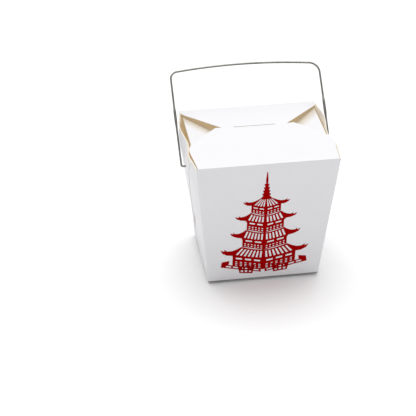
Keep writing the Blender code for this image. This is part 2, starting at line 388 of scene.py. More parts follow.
@dataclass(frozen=True)
class NarrowWallBoard(CoatedBoard):
    """The same board on the narrow walls, with its bare back where the gussets lie over it.

    A painted tan shade and a painted glow, also on the bare back, stand in for the light that comes
    through the thin back flap onto the board beneath it: the reaches are distances from that flap's
    slanted edge, which runs from its corner to its inner end.
    """

    bare: Colour = (0.74, 0.62, 0.43)
    bare_run: float = 0.62
    bare_y: Point2 = (0.0350, 0.0370)
    bare_z: Point2 = (0.099, 0.097)
    # Painted glow and painted tan shade near the back flap's edge.
    bare_painted_glow: float = 0.6
    painted_glow: Colour = (0.84, 0.64, 0.33)
    painted_glow_strength: float = 0.19
    painted_glow_reach: Point2 = (0.0010, -0.0035)
    painted_shade_tint: Colour = (0.64, 0.58, 0.49)
    painted_shade_reach: Point2 = (0.0110, 0.0010)
    flap_corner: Point2 = (0.0538, 0.0395)
    flap_inner: Point2 = (0.0236, 0.0131)
    flap_z: float = 0.099
    # A dark tan line along the top fold of the narrow walls.
    fold_line_tan: Colour = (0.42, 0.30, 0.15)
    fold_line_x: Point2 = (0.0518, 0.0522)
    fold_line_z: float = 0.1045

    def shade(self, tree: Tree) -> dict:
        """Adds a painted tan shade and a painted glow by the back flap's edge, the bare board under
        the gussets, which gets the painted glow too, and a dark tan line along the top fold.

        Args:
            tree: the material's tree.

        Returns:
            The shader's inputs.
        """
        inputs = super().shade(tree)
        x, y, z = tree.object_axes()
        along = Vector(self.flap_inner) - Vector(self.flap_corner)
        across = Vector((-along.y, along.x)).normalized()
        past = (abs(x) - self.flap_corner[0]) * across.x + (y - self.flap_corner[1]) * across.y
        on_flap = z.above(self.flap_z)
        # Painted shade: a warm tan tint on the side flap along and under the back flap's slanted
        # edge.
        painted_shade = past.ramp(*self.painted_shade_reach) * on_flap
        bare = (abs(y) + z * self.bare_run).ramp(*self.bare_y) * z.ramp(*self.bare_z)
        # A dark tan line along the narrow walls' top fold.
        fold_line = abs(x).ramp(*self.fold_line_x) * z.above(self.fold_line_z)
        coats = ((painted_shade, self.painted_shade_tint), (bare, self.bare), (fold_line, self.fold_line_tan))
        inputs["Base Color"] = tree.coats(inputs["Base Color"], *coats)
        # Painted glow: emission near the back flap's edge and over the bare board, standing in for
        # light that comes through the board.
        painted_glow_share = (past.ramp(*self.painted_glow_reach) * on_flap).larger(bare * self.bare_painted_glow)
        inputs["Emission Color"] = tree.mix(painted_glow_share, BLACK, self.painted_glow)
        inputs["Emission Strength"] = self.painted_glow_strength
        return inputs


@dataclass(frozen=True)
class BareBoard(Finish):
    """The uncoated back of the board: warm, matt and fibrous, with a painted glow for the light that
    comes through it.
    """

    dark: Colour = (0.82, 0.71, 0.53)
    cloud: Grain = Grain(60.0, 2.0, (0.3, 0.7), 0.4)
    fibres: Grain = Grain(1400.0, 4.0, (0.45, 0.75), 0.35, 0.1, (0.25, 0.0001), (1.0, 1.0, 0.18))
    specks: Grain = Grain(2200.0, 2.0, (0.68, 0.74), 0.5)
    # Painted glow over the whole back, and a paler painted glow near the gussets' rim.
    painted_glow: Colour = (0.45, 0.38, 0.27)
    painted_glow_strength: float = 0.28
    coated: Colour = (0.86, 0.84, 0.81)
    painted_rim_glow: Colour = (0.95, 0.90, 0.82)
    coated_x: float = 0.0525
    coated_and_lit_z: Point2 = (0.1005, 0.1035)
    rim_z: float = 0.1087

    def shade(self, tree: Tree) -> dict:
        """Fibres and a few darker specks; near the rim the gussets show their coated side, painted
        paler towards the rim where light falls in, with a paler painted glow.

        Args:
            tree: the material's tree.

        Returns:
            The shader's inputs.
        """
        fibres = self.fibres.noise(tree)
        x, _, z = tree.object_axes()
        # The gussets' coated side near the rim, painted paler towards the rim where light falls in.
        coated_and_lit_rim = z.ramp(*self.coated_and_lit_z) * (self.rim_z - z).above(0.0)
        coated_and_lit_rim = coated_and_lit_rim * abs(x).above(self.coated_x)
        colour = tree.coats(
            self.colour,
            (self.cloud.marks(self.cloud.noise(tree)), self.dark),
            (self.fibres.marks(fibres), self.dark),
            (self.specks.marks(self.specks.noise(tree)), self.dark),
            (coated_and_lit_rim, self.coated),
        )
        return {
            "Base Color": colour,
            "Roughness": self.roughness + self.fibres.roughen(fibres),
            "Emission Color": tree.mix(coated_and_lit_rim, self.painted_glow, self.painted_rim_glow),
            "Emission Strength": self.painted_glow_strength,
            "Normal": self.fibres.bump(fibres),
        }


@dataclass(frozen=True)
class CutEdge(Finish):
    """The cream core that shows where the board is cut."""

    layers: Grain = Grain(3000.0, 3.0, (0.4, 0.7), 0.6, relief=(0.3, 0.0001))
    layer_shade: float = 0.82

    def shade(self, tree: Tree) -> dict:
        """Fine layers of fibre along the cut.

        Args:
            tree: the material's tree.

        Returns:
            The shader's inputs.
        """
        layers = self.layers.noise(tree)
        darker = tuple(c * self.layer_shade for c in self.colour)
        colour = tree.mix(self.layers.marks(layers), self.colour, darker)
        normal = self.layers.bump(layers)
        return {"Base Color": colour, "Roughness": self.roughness, "Normal": normal}


@dataclass(frozen=True)
class PrintInk(Finish):
    """One flat red ink: slightly uneven where the board's grain took less of it."""

    thin: Colour = (0.38, 0.002, 0.003)
    gloss: float = 0.0
    grain: Grain = Grain(1800.0, 3.0, (0.45, 0.75), 0.35, 0.1, (0.08, 0.00006))
    cloud: Grain = Grain(70.0, 2.0, (0.4, 0.7), 0.25)

    def shade(self, tree: Tree) -> dict:
        """Ink density that varies with the grain.

        Args:
            tree: the material's tree.

        Returns:
            The shader's inputs.
        """
        grain = self.grain.noise(tree)
        density = self.grain.marks(grain) + self.cloud.marks(self.cloud.noise(tree))
        return {
            "Base Color": tree.mix(density, self.colour, self.thin),
            "Roughness": self.roughness + self.grain.roughen(grain),
            "Specular IOR Level": self.gloss,
            "Normal": self.grain.bump(grain),
        }


@dataclass(frozen=True)
class GalvanisedWire(Finish):
    """Drawn steel wire with a dull zinc coat and fine draw marks along it."""

    dull: Colour = (0.14, 0.13, 0.115)
    patches: Grain = Grain(160.0, 3.0, (0.42, 0.7), 0.6, 0.12)
    draws: Grain = Grain(24.0, 3.0, (0.5, 0.8), 0.25, 0.06, (0.15, 0.00005))

    def shade(self, tree: Tree) -> dict:
        """Draw marks round the wire, from its stored angle, and duller patches.

        Args:
            tree: the material's tree.

        Returns:
            The shader's inputs.
        """
        around = tree.add("ShaderNodeAttribute", {"attribute_name": "around"}, out="Fac")
        values = {"W": around, "Scale": self.draws.scale, "Detail": self.draws.detail}
        draws = tree.add("ShaderNodeTexNoise", {"noise_dimensions": "1D"}, values, "Fac")
        patches = self.patches.noise(tree)
        dulled = self.patches.marks(patches) + self.draws.marks(draws)
        rough = self.roughness + self.patches.roughen(patches) + self.draws.roughen(draws)
        return {
            "Base Color": tree.mix(dulled, self.colour, self.dull),
            "Metallic": 1.0,
            "Roughness": rough,
            "Normal": self.draws.bump(draws),
        }


@dataclass(frozen=True)
class StudioFloor(Finish):
    """A matt white sweep."""


class Palette:
    """The materials that the pieces share, each made once."""

    def __init__(self) -> None:
        """Builds every material."""
        white = (0.825, 0.82, 0.84)
        self.board = CoatedBoard("coated_board", white, 0.42).material()
        self.narrow = NarrowWallBoard("narrow_wall_board", white, 0.42).material()
        self.bare = BareBoard("bare_board_back", (0.91, 0.85, 0.74), 0.75).material()
        self.edge = CutEdge("cut_board_edge", (0.80, 0.74, 0.64), 0.8).material()
        self.ink = PrintInk("red_print", (0.335, 0.0004, 0.001), 0.5).material()
        self.wire = GalvanisedWire("zinc_wire", (0.26, 0.25, 0.235), 0.29).material()
        self.floor = StudioFloor("white_sweep", (0.95, 0.95, 0.95), 0.9).material()


# Shapes shared by the board pieces


def smooth(value: float, low: float, high: float) -> float:
    """0 below low, 1 above high, and a smooth ramp between."""
    t = min(1.0, max(0.0, (value - low) / (high - low)))
    return t * t * (3 - 2 * t)


def rounded(corners: Sequence[Corner], steps: int) -> Line:
    """Rounds the corners of an open line.

    Args:
        corners: (a, b, radius) for each corner; a radius of 0 leaves it sharp.
        steps: how many steps each arc has.

    Returns:
        (point, whether it lies on an arc) along the line.
    """
    points: Line = []
    for i, (a, b, radius) in enumerate(corners):
        here = Vector((a, b))
        if radius == 0:
            points.append((here, False))
            continue
        before = (Vector(corners[i - 1][:2]) - here).normalized()
        after = (Vector(corners[i + 1][:2]) - here).normalized()
        half = before.angle(after) / 2
        reach = radius / math.tan(half)
        centre = here + (before + after).normalized() * radius / math.sin(half)
        start = here + before * reach - centre
        end = here + after * reach - centre
        turn = start.angle_signed(end)
        for k in range(steps + 1):
            points.append((centre + Matrix.Rotation(-turn * k / steps, 2) @ start, True))
    return points


def filled_in(line: Line) -> Line:
    """Adds points to the straight runs of a rounded line.

    Args:
        line: what rounded returns.

    Returns:
        The line with its straight runs divided, more finely next to each arc.
    """
    full = [line[0]]
    for (a, a_arc), (b, b_arc) in zip(line, line[1:]):
        run = (b - a).length
        if not (a_arc and b_arc) or run > 4 * STEP_LEAD:
            low = STEP_LEAD if a_arc and run > 3 * STEP_LEAD else 0.0
            high = run - STEP_LEAD if b_arc and run > 3 * STEP_LEAD else run
            count = max(1, math.ceil((high - low) / STEP_LENGTH))
            for k in range(count + 1):
                at = low + (high - low) * k / count
                if TINY < at < run - TINY:
                    full.append((a.lerp(b, at / run), False))
        full.append((b, b_arc))
    return full


@dataclass(frozen=True)
class PailForm:
    """Sizes of the pail, the same as the solids', and the surfaces that follow from them.

    The lip is the lift of the base's front and back edges, and the ripple is a faint wave.
    """

    top_w: float = 0.108
    top_d: float = 0.092
    base_w: float = 0.0865
    base_d: float = 0.070
    height: float = 0.109
    side_knee_x: float = 0.0500
    side_knee_z: float = 0.0950
    side_rim_x: float = 0.0532
    side_rim_z: float = 0.1072
    gusset_top_z: float = 0.1086
    gusset_slope: float = math.radians(4)
    gusset_angle: float = math.radians(31.8)
    gusset_inset: float = 0.00012
    gusset_lap: float = 0.0003
    gusset_step: float = 0.007
    bulge_base: float = 0.0005
    bulge_rise: float = 0.0047
    bulge_span: float = 0.165
    bulge_power: float = 2.8
    bulge_middle: float = 0.72
    bulge_rim_middle: float = 0.20
    bulge_draw_z: float = 0.090
    bulge_flank: float = 0.64
    bulge_flank_z: float = 0.080
    lip_rise: float = 0.0005
    lip_run: float = 0.010
    lip_fade: float = 0.012
    swell: float = 0.00028
    ripple: float = 0.00016
    ripple_across: Point3 = (63.0, 41.0, 0.7)
    ripple_up: Point2 = (38.0, 57.0)

    def corner_x(self, z: float) -> float:
        """X of the slanted corner edge at height z."""
        return (self.base_w + (self.top_w - self.base_w) * z / self.height) / 2

    def corner_y(self, z: float) -> float:
        """Y of the slanted corner edge at height z."""
        return (self.base_d + (self.top_d - self.base_d) * z / self.height) / 2

    def free_y(self, z: float) -> float:
        """Y of the gussets' free edge at height z, from the middle towards their own wall."""
        return self.base_d / 2 - z * math.tan(self.gusset_angle)

    def side_wall_x(self, z: float) -> float:
        """X of the narrow wall, under the gussets; it bends outwards a little at its knee.

        Args:
            z: height.

        Returns:
            X at that height.
        """
        if z < self.side_knee_z:
            return self.base_w / 2 + (self.side_knee_x - self.base_w / 2) * z / self.side_knee_z
        slope = (self.side_rim_x - self.side_knee_x) / (self.side_rim_z - self.side_knee_z)
        return self.side_knee_x + slope * (z - self.side_knee_z)

    def gusset_x(self, y: float, z: float) -> float:
        """X of the outer face of the gussets: they bow out either side of the wire.

        Args:
            y: distance from the middle, of either sign.
            z: height.

        Returns:
            X at that point.
        """
        rise = max(0.0, math.sin(math.pi * z / self.bulge_span)) ** self.bulge_power
        bulge = self.bulge_base + self.bulge_rise * rise
        across = min(1.0, abs(y) / self.corner_y(z))
        drawn = self.bulge_middle - self.bulge_rim_middle
        drawn *= smooth(z, self.bulge_draw_z, self.height)
        middle = (self.bulge_middle - drawn) * (1 - across**4)
        flank = self.bulge_flank * smooth(z, self.bulge_flank_z, self.height)
        flank *= math.sin(math.pi * across) ** 2
        return self.corner_x(z) - self.gusset_inset + bulge * (middle + flank)

    def lip(self, y: float, z: float) -> float:
        """How far the base's edge lifts off the table at (|y|, z)."""
        out = smooth(y, self.base_d / 2 - self.lip_run, self.base_d / 2)
        return self.lip_rise * out * (1 - smooth(z, 0.0, self.lip_fade))

    def wave(self, x: float, z: float) -> float:
        """How far the wide face swells outwards: a sheet is never quite flat.

        Args:
            x: across the face.
            z: height.

        Returns:
            The swell there.
        """
        across = max(0.0, 1 - (x / self.corner_x(z)) ** 2)
        up = max(0.0, math.sin(math.pi * min(1.0, z / self.height)))
        a, b, shift = self.ripple_across
        c, d = self.ripple_up
        ripple = math.sin(a * x + b * z + shift) * math.cos(d * z - c * x)
        return across * up * (self.swell + self.ripple * ripple)


def linked(name: str, data: bpy.types.ID) -> bpy.types.Object:
    """A new object in the scene that shows this data."""
    made = bpy.data.objects.new(name, data)
    bpy.context.scene.collection.objects.link(made)
    return made


def as_object(
    name: str, bm: bmesh.types.BMesh, materials: Sequence[bpy.types.Material]
) -> bpy.types.Object:
    """Turns a bmesh into an object in the scene.

    Args:
        name: the object's name.
        bm: the shape; it is freed.
        materials: its materials in order.

    Returns:
        The object.
    """
    mesh = bpy.data.meshes.new(name)
    bm.to_mesh(mesh)
    bm.free()
    for material in materials:
        mesh.materials.append(material)
    return linked(name, mesh)


def bake(piece: bpy.types.Object) -> None:
    """Replaces a piece's mesh by what its modifiers make of it.

    Args:
        piece: the object; its modifiers are removed.
    """
    bpy.context.view_layer.update()
    graph = bpy.context.evaluated_depsgraph_get()
    mesh = bpy.data.meshes.new_from_object(piece.evaluated_get(graph), depsgraph=graph)
    piece.modifiers.clear()
    piece.data = mesh
    mesh.name = piece.name


@dataclass
class Sheet:
    """A sheet of board laid out as rows of points, then given its thickness."""

    name: str
    bm: bmesh.types.BMesh = field(default_factory=bmesh.new)

    def __post_init__(self) -> None:
        """Adds the layers that hold the fold mark and the thickness share."""
        self.fold = self.bm.verts.layers.float.new("fold")
        self.deform = self.bm.verts.layers.deform.verify()

    def point(self, co: Vector, fold: float = 0.0, share: float = 0.5) -> bmesh.types.BMVert:
        """Adds a point.

        Args:
            co: its place.
            fold: 1 on a fold, 0 away from it.
            share: 0.5 for one layer of board, 1 for two.

        Returns:
            The new vertex.
        """
        vert = self.bm.verts.new(co)
        vert[self.fold] = fold
        vert[self.deform][0] = share
        return vert

    def skin(self, rows: Sequence[Row], skip: Callable[[int, int], bool] | None = None) -> None:
        """Adds faces between neighbouring rows.

        Args:
            rows: rows of vertices with the same count.
            skip: says which (row, column) cells stay open.
        """
        for i, (low, high) in enumerate(zip(rows, rows[1:])):
            for j in range(len(low) - 1):
                if skip is None or not skip(i, j):
                    self.bm.faces.new((low[j], low[j + 1], high[j + 1], high[j]))

    def finish(
        self,
        materials: Sequence[bpy.types.Material],
        middle: Vector,
        crease: Callable[[Vector], bool] | None = None,
    ) -> bpy.types.Object:
        """Gives the sheet its thickness and its outside, back and edge finishes.

        Args:
            materials: outside, back and cut edge.
            middle: a point inside the pail; the outside faces away from it.
            crease: says where a rim is a fold of the board and not a cut.

        Returns:
            The finished object.
        """
        bmesh.ops.remove_doubles(self.bm, verts=self.bm.verts, dist=WELD)
        self.bm.normal_update()
        faces = self.bm.faces
        votes = [f.calc_area() * f.normal.dot(f.calc_center_median() - middle) for f in faces]
        if sum(votes) < 0:
            bmesh.ops.reverse_faces(self.bm, faces=faces)
        made = as_object(self.name, self.bm, materials)
        made.vertex_groups.new(name="layers")
        wall = made.modifiers.new("board", "SOLIDIFY")
        wall.thickness = 2 * BOARD
        wall.offset = -1
        wall.vertex_group = "layers"
        wall.material_offset = 1
        wall.material_offset_rim = 2
        bake(made)
        for face in made.data.polygons:
            if face.material_index == 2 and crease and crease(face.center):
                face.material_index = 0
        made.data.shade_smooth()
        made.data.set_sharp_from_angle(angle=BOARD_SHARP)
        return made


def settle(piece: bpy.types.Object, body: BodyName) -> None:
    """Makes a piece ride on its body, and reports it.

    Args:
        piece: the finished piece.
        body: the body it moves with.
    """
    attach(piece, body.value)
    LOG.info("%s: %d faces", piece.name, len(piece.data.polygons))


# Board


@dataclass
class WideWrap:
    """One wide wall with its base fold, its two gussets and its closing flap, in one sheet.

    Each corner of flap_line is its distance from the top fold, half the flap's width there
    and a radius. flap_start is how far past the top fold, and how far below the top at most,
    the flap starts.
    """

    form: PailForm
    face: Face
    corner_r: float = 0.0009
    base_r: float = 0.0012
    top_r: float = 0.0006
    columns: int = 24
    rim_share: float = 0.985
    flap_start: Point2 = (0.0004, 0.0002)
    middle_share: float = 0.55
    fold_cells: int = 5
    cells: int = 26
    crease_half: float = 0.0012
    two_layers: float = 0.003
    hole_z: float = 0.0855
    hole_r: float = 0.0012
    hole_sides: int = 24
    hole_reach: float = 1.4
    flap_line: tuple[Corner, ...] = ()
    flap_steps: int = 6

    def gusset_row(self, up: float) -> tuple[Vector, Vector]:
        """Ends of one row of the gusset's fan, in |Y| and Z.

        Args:
            up: 0 at the bottom corner, 1 at the rim.

        Returns:
            The corner end and the free end.
        """
        form = self.form
        run = math.tan(form.gusset_angle)
        fall = math.tan(form.gusset_slope)
        apex = Vector((form.base_d / 2, 0))
        top = Vector((form.corner_y(form.gusset_top_z), form.gusset_top_z))
        tip_z = (top.y - (top.x - apex.x) * fall) / (1 + run * fall)
        tip = Vector((apex.x - tip_z * run, tip_z))
        return apex.lerp(top, up), apex.lerp(tip, up)

    def gusset_point(self, side: Side, y: float, z: float) -> Vector:
        """A point of the gusset's outer face; the front one lies under the back one.

        Args:
            side: the narrow side it lies on.
            y: distance from the middle, positive towards its own wide wall.
            z: height.

        Returns:
            The point.
        """
        form = self.form
        x = form.gusset_x(y, z)
        if self.face is Face.FRONT:
            sunk = smooth(-y - form.free_y(z), -form.gusset_step, 0)
            x -= (2 * BOARD - form.gusset_lap) * sunk
        return Vector((side.value * x, self.face.value * y, z))

    def flap_half(self, at: float) -> float:
        """Half the flap's width at a distance from its fold.

        Args:
            at: the distance along the flap.

        Returns:
            The half width there.
        """
        line = rounded(self.flap_line, self.flap_steps)
        for (a, _), (b, _) in zip(line, line[1:]):
            if a.x <= at <= b.x:
                return a.y + (b.y - a.y) * ((at - a.x) / max(TINY, b.x - a.x))
        return line[-1][0].y if at > line[-1][0].x else line[0][0].y

    def profile(self) -> Line:
        """The sheet's path in |Y| and Z: base fold, wall, top fold, flap and any tab.

        Returns:
            Its points, and whether each lies on a fold.
        """
        form = self.form
        corners = [
            (form.base_d / 2 - form.lip_run, 0.0, 0.0),
            (form.base_d / 2, 0.0, self.base_r),
            (form.top_d / 2, form.height, self.top_r),
            *self.flap_corners(),
        ]
        return filled_in(rounded(corners, ARC_STEPS))

    def flap_corners(self) -> list[Corner]:
        """Corners of the flap's path after the top fold; each face gives its own."""
        return []

    def half_width(self, at: float, z: float, on_flap: bool) -> float:
        """Half the width of the sheet at a point of its path."""
        return self.flap_half(at) if on_flap else self.form.corner_x(z) - self.corner_r

    def seam(self) -> float:
        """Where the tab or the slit ends across the sheet; each face gives its own."""
        return 1.0

    def shares(self) -> list[float]:
        """Places of the columns across the sheet, from -1 to 1."""
        marks = {2 * k / self.columns - 1 for k in range(self.columns + 1)}
        ends = (self.rim_share, self.seam())
        return sorted({*marks, *ends, *(-end for end in ends)})

    def is_cut(self, low_y: float, high_y: float, in_seam: bool) -> bool:
        """Says whether a cell of the flap is cut away; each face gives its own."""
        return False

    def lift(self, x: float, at: float) -> float:
        """How far the flap bends up or down at a point; each face gives its own."""
        return 0.0

    def build(self, palette: Palette) -> bpy.types.Object:
        """Builds the sheet.

        Args:
            palette: the shared materials.

        Returns:
            The finished piece.
        """
        form = self.form
        sheet = Sheet(f"{self.face.name.lower()}_wall_and_flap")
        shares = self.shares()
        rows: list[Row] = []
        ends: dict[float, Row] = {}
        on_flap = False
        for p, arc in self.profile():
            at = form.top_d / 2 - p.x
            on_flap = on_flap or (at > self.flap_start[0] and p.y > form.height - self.flap_start[1])
            half = self.half_width(at, p.y, on_flap)
            row = []
            for share in shares:
                x = share * half
                out = 0.0 if on_flap else form.wave(x, p.y)
                rise = form.lip(p.x, p.y) + (self.lift(x, at) if on_flap else 0.0)
                co = Vector((x, self.face.value * (p.x + out), p.y + rise))
                row.append(sheet.point(co, 1.0 if arc else 0.0))
            rows.append(row)
            if self.corner_r < p.y < form.gusset_top_z and not on_flap:
                ends[p.y] = [row[0], row[-1]]
        reach = self.seam() + SHARE_SLACK

        def skip(i: int, j: int) -> bool:
            """True where the flap is cut away."""
            in_seam = -reach <= shares[j] and shares[j + 1] <= reach
            return self.is_cut(rows[i][0].co.y, rows[i + 1][0].co.y, in_seam)

        def crease(co: Vector) -> bool:
            """True on the gussets' folded free edges."""
            if co.z > form.gusset_top_z or abs(co.x) < form.side_wall_x(co.z):
                return False
            return abs(co.y * self.face.value - form.free_y(co.z)) < self.crease_half

        sheet.skin(rows, skip)
        for side in Side:
            self.add_gusset(sheet, side, ends)
        mats = (palette.board, palette.bare, palette.edge)
        piece = sheet.finish(mats, Vector((0, 0, form.height * self.middle_share)), crease)
        self.punch_holes(piece, palette)
        return piece

    def punch_holes(self, piece: bpy.types.Object, palette: Palette) -> None:
        """Punches the wire's holes through both gussets.

        Args:
            piece: the finished sheet.
            palette: the shared materials.
        """
        bm = bmesh.new()
        turn = Matrix.Translation((0, 0, self.hole_z)) @ Matrix.Rotation(math.pi / 2, 4, "Y")
        depth = self.hole_reach * self.form.top_w
        size = {"radius1": self.hole_r, "radius2": self.hole_r, "depth": depth}
        bmesh.ops.create_cone(bm, cap_ends=True, segments=self.hole_sides, matrix=turn, **size)
        punch = as_object("punch", bm, [palette.edge])
        cut = piece.modifiers.new("holes", "BOOLEAN")
        cut.object = punch
        cut.operation = "DIFFERENCE"
        cut.solver = "EXACT"
        cut.material_mode = "TRANSFER"
        bake(piece)
        piece.data.set_sharp_from_angle(angle=BOARD_SHARP)
        bpy.data.objects.remove(punch)

    def add_gusset(self, sheet: Sheet, side: Side, ends: dict[float, Row]) -> None:
        """Adds one gusset, hung on the wall's edge by a rounded fold.

        Args:
            sheet: the sheet being built.
            side: the narrow side it lies on.
            ends: the wall's two end vertices at each height.
        """
        form = self.form
        rows = []
        for z in [*sorted(ends), form.gusset_top_z]:
            corner, free = self.gusset_row(z / form.gusset_top_z)
            length = (corner - free).length
            start = min(0.5, self.corner_r / max(length, TINY))
            edge_y = self.face.value * form.corner_y(z)
            if z in ends:
                wall = ends[z][0 if side is Side.LEFT else 1]
            else:
                x = side.value * (form.corner_x(z) - self.corner_r)
                wall = sheet.point(Vector((x, edge_y, z)))
            row = [wall]
            a = wall.co.copy()
            b = Vector((side.value * form.corner_x(z), edge_y, z))
            first = corner.lerp(free, start)
            c = self.gusset_point(side, first.x, first.y)
            for k in range(1, self.fold_cells):
                t = k / self.fold_cells
                row.append(sheet.point(a.lerp(b, t).lerp(b.lerp(c, t), t), 1.0))
            for k in range(self.cells + 1):
                t = start + (1 - start) * k / self.cells
                p = corner.lerp(free, t)
                share = 0.5 + 0.5 * smooth(t * length, self.corner_r, self.two_layers)
                edge = 1.0 if k in (0, self.cells) else 0.0
                row.append(sheet.point(self.gusset_point(side, p.x, p.y), edge, share))
            rows.append(row if side is Side.RIGHT else row[::-1])
        sheet.skin(rows)


@dataclass
class FrontWrap(WideWrap):
    """The front wall; its flap closes last and has the tab."""

    face: Face = Face.FRONT
    flap_line: tuple[Corner, ...] = (
        (0.0, 0.0526, 0.0),
        (0.0295, 0.0553, 0.003),
        (0.0362, 0.0528, 0.004),
        (0.0591, 0.0300, 0.0),
    )
    reach: float = 0.0591
    end_half: float = 0.0300
    end_slack: float = 0.0003
    tab_half: float = 0.0144
    tab_length: float = 0.0070
    tab_angle: float = math.radians(68)
    tab_r: float = 0.0007
    tab_taper: float = 0.0020
    tab_taper_run: float = 0.003
    corner_lift: float = 0.0009
    corner_x: Point2 = (0.016, 0.040)
    corner_from: float = 0.030
    sag: float = 0.00025
    sag_full: float = 0.02
    sag_end: float = 0.035

    def flap_corners(self) -> list[Corner]:
        """The flap's far edge, then the tab bent down into the slot.

        Returns:
            (|y|, z, radius) of each corner.
        """
        far = self.form.top_d / 2 - self.reach
        y = far - self.tab_length * math.cos(self.tab_angle)
        z = self.form.height - self.tab_length * math.sin(self.tab_angle)
        return [(far, self.form.height, self.tab_r), (y, z, 0.0)]

    def half_width(self, at: float, z: float, on_flap: bool) -> float:
        """Adds the tab, whose columns run on from the flap's middle ones.

        Args:
            at: distance from the top fold, along the flap.
            z: height.
            on_flap: whether the point is past the top fold.

        Returns:
            The half width there.
        """
        if on_flap and at > self.reach - self.end_slack:
            taper = smooth(at, self.reach, self.reach + self.tab_taper_run)
            return self.end_half - self.tab_taper * taper
        return super().half_width(at, z, on_flap)

    def seam(self) -> float:
        """The tab's two sides."""
        return self.tab_half / self.end_half

    def is_cut(self, low_y: float, high_y: float, in_seam: bool) -> bool:
        """True past the far edge, beside the tab."""
        return low_y >= self.reach - self.form.top_d / 2 - self.end_slack and not in_seam

    def lift(self, x: float, at: float) -> float:
        """The free corners of the flap stand up a little, and its middle sags."""
        out = smooth(abs(x), *self.corner_x) * smooth(at, self.corner_from, self.reach)
        sag = smooth(at, 0.0, self.sag_full) * (1 - smooth(at, self.sag_end, self.reach))
        return self.corner_lift * out - self.sag * sag


@dataclass
class BackWrap(WideWrap):
    """The back wall; its flap lies under the front one and is slit for the tab."""

    face: Face = Face.BACK
    flap_line: tuple[Corner, ...] = (
        (0.0, 0.0528, 0.0),
        (0.0006, 0.0534, 0.0),
        (0.0065, 0.0538, 0.002),
        (0.0329, 0.0236, 0.004),
        (0.0420, 0.0150, 0.0),
    )
    reach: float = 0.0420
    gap_under: float = 0.00005
    drop: float = 0.0007
    slot_half: float = 0.0150
    slot_near: float = 0.0311
    slot_far: float = 0.0331
    edge_lift: float = 0.0004
    edge_x: Point2 = (0.020, 0.050)
    edge_from: Point2 = (0.002, 0.012)
    edge_to: Point2 = (0.018, 0.030)

    def flap_corners(self) -> list[Corner]:
        """The slit's two sides, then the flap's hidden end.

        Returns:
            (|y|, z, radius) of each corner.
        """
        d = self.form.top_d / 2
        z = self.form.height - self.gap_under
        runs = (self.slot_near, self.slot_far, self.reach)
        return [(d - run, z - self.drop * run / self.slot_far, 0.0) for run in runs]

    def seam(self) -> float:
        """The slit's two ends."""
        return self.slot_half / self.flap_half(self.slot_far)

    def is_cut(self, low_y: float, high_y: float, in_seam: bool) -> bool:
        """True inside the slit."""
        at = self.form.top_d / 2 - (low_y + high_y) / 2
        return self.slot_near < at < self.slot_far and in_seam

    def lift(self, x: float, at: float) -> float:
        """The flap's side edges stand up a little where they are free."""
        free = smooth(at, *self.edge_from) * (1 - smooth(at, *self.edge_to))
        return self.edge_lift * smooth(abs(x), *self.edge_x) * free


@dataclass
class NarrowWalls:
    """The base, both narrow walls and their flaps: one sheet that runs under the wide walls."""

    form: PailForm
    base_z: float = 0.00006
    base_r: float = 0.0010
    rim_r: float = 0.0006
    knee_r: float = 0.012
    flap_end: Point2 = (0.018, 0.1008)
    tuck: float = 0.00052
    columns: int = 28
    sag: float = 0.0005
    sag_z: Point2 = (0.098, 0.104)
    sag_x: Point2 = (0.001, 0.02)

    def build(self, palette: Palette) -> bpy.types.Object:
        """Builds the sheet.

        Args:
            palette: the shared materials.

        Returns:
            The finished piece.
        """
        form = self.form
        right = [
            (form.side_wall_x(0), self.base_z, self.base_r),
            (form.side_knee_x, form.side_knee_z, self.knee_r),
            (form.side_rim_x, form.side_rim_z, self.rim_r),
            (*self.flap_end, 0.0),
        ]
        left = [(-x, z, r) for x, z, r in reversed(right)]
        sheet = Sheet("base_and_narrow_walls")
        rows = []
        for p, arc in filled_in(rounded(left + right, ARC_STEPS)):
            half = form.corner_y(min(p.y, form.side_rim_z)) - self.tuck
            slack = smooth(p.y, *self.sag_z) * smooth(form.side_rim_x - abs(p.x), *self.sag_x)
            row = []
            for k in range(self.columns + 1):
                share = 2 * k / self.columns - 1
                sag = self.sag * slack * (1 - share * share)
                lip = form.lip(abs(share) * half + self.tuck, p.y)
                co = Vector((p.x, share * half, p.y - sag + lip))
                row.append(sheet.point(co, 1.0 if arc else 0.0))
            rows.append(row)
        sheet.skin(rows)
        mats = (palette.narrow, palette.bare, palette.edge)
        return sheet.finish(mats, Vector((0, 0, form.height / 2)))


# Node groups that make shapes


class ShapeGroup:
    """A geometry node group with named inputs, run on one mesh at a time."""

    name = "shape"
    inputs: dict[str, str] = {}

    def __init__(self) -> None:
        """Makes the group, its inputs by name and socket kind, and its nodes."""
        group = bpy.data.node_groups.new(self.name, "GeometryNodeTree")
        self.tree = Tree(group)
        self.keys: dict[str, str] = {}
        for name, kind in {"Path": "Geometry", **self.inputs, "Finish": "Material"}.items():
            kind = f"NodeSocket{kind}"
            made = group.interface.new_socket(name, in_out="INPUT", socket_type=kind)
            self.keys[name] = made.identifier
        group.interface.new_socket("Shape", in_out="OUTPUT", socket_type="NodeSocketGeometry")
        given = self.tree.add("NodeGroupInput")
        real = self.tree.add("GeometryNodeRealizeInstances", {}, {"Geometry": self.shape(given)})
        values = {"Geometry": real, "Material": given.of("Finish")}
        named = self.tree.add("GeometryNodeSetMaterial", {}, values)
        self.tree.add("NodeGroupOutput", {}, {0: named})

    def shape(self, given: Signal) -> Signal:
        """The group's own nodes, from its inputs to its geometry; each group adds its own."""
        return given

    def run(self, name: str, mesh: bpy.types.Mesh, values: dict) -> bpy.types.Object:
        """Runs the group on a mesh.

        Args:
            name: the new object's name.
            mesh: the mesh it starts from.
            values: a value for each named input.

        Returns:
            The result, as a plain mesh.
        """
        made = linked(name, mesh)
        mod = made.modifiers.new(name, "NODES")
        mod.node_group = self.tree.tree
        for key, value in values.items():
            mod[self.keys[key]] = value
        bake(made)
        return made


# Wire handle


